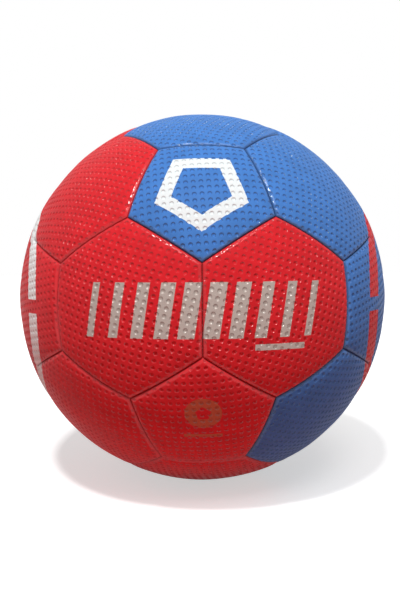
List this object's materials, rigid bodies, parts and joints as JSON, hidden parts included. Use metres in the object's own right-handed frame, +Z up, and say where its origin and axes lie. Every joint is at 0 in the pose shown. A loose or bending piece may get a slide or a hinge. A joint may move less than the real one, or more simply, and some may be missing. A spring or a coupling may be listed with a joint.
{
  "type": "handball",
  "caption": "Hand-sewn handball of rolled-edge pentagon and hexagon panels over foam, cloth lining and a rubber bladder with a needle valve.",
  "frame": {"origin": "the ball's centre", "axes": "+Z up, -Y towards the two printed red hexagons, +X towards the blue side; each row axis passes through the middle of a seam between two hexagons"},
  "size_m": [0.1746, 0.1746, 0.1746],
  "materials": {
    "cover_red": "satin",
    "cover_blue": "satin",
    "foam": "matte",
    "lining": "matte",
    "thread": "satin",
    "bladder": "satin",
    "patch": "matte",
    "valve_body": "satin",
    "valve_plug": "matte"
  },
  "bodies": {
    "root": {"pentagon_01": "cover_red", "pentagon_02": "cover_red", "pentagon_03": "cover_red", "pentagon_04": "cover_red", "pentagon_05": "cover_red", "pentagon_06": "cover_blue", "pentagon_07": "cover_blue", "pentagon_08": "cover_blue", "pentagon_09": "cover_red", "pentagon_10": "cover_blue", "pentagon_11": "cover_blue", "pentagon_12": "cover_blue", "hexagon_01": "cover_red", "hexagon_02": "cover_blue", "hexagon_03": "cover_red", "hexagon_04": "cover_blue", "hexagon_05": "cover_red", "hexagon_06": "cover_blue", "hexagon_07": "cover_red", "hexagon_08": "cover_blue", "hexagon_09": "cover_red", "hexagon_10": "cover_red", "hexagon_11": "cover_red", "hexagon_12": "cover_red", "hexagon_13": "cover_red", "hexagon_14": "cover_red", "hexagon_15": "cover_blue", "hexagon_16": "cover_blue", "hexagon_17": "cover_red", "hexagon_18": "cover_blue", "hexagon_19": "cover_blue", "hexagon_20": "cover_red", "foam_pentagons": "foam", "foam_hexagons": "foam", "lining_pentagons": "lining", "lining_hexagons": "lining", "thread_upper": "thread", "thread_lower": "thread", "thread_hexagons": "thread", "bladder": "bladder", "valve_patch": "patch", "weight_patch": "patch", "valve_body": "valve_body", "valve_plug": "valve_plug"}
  },
  "joints": []
}
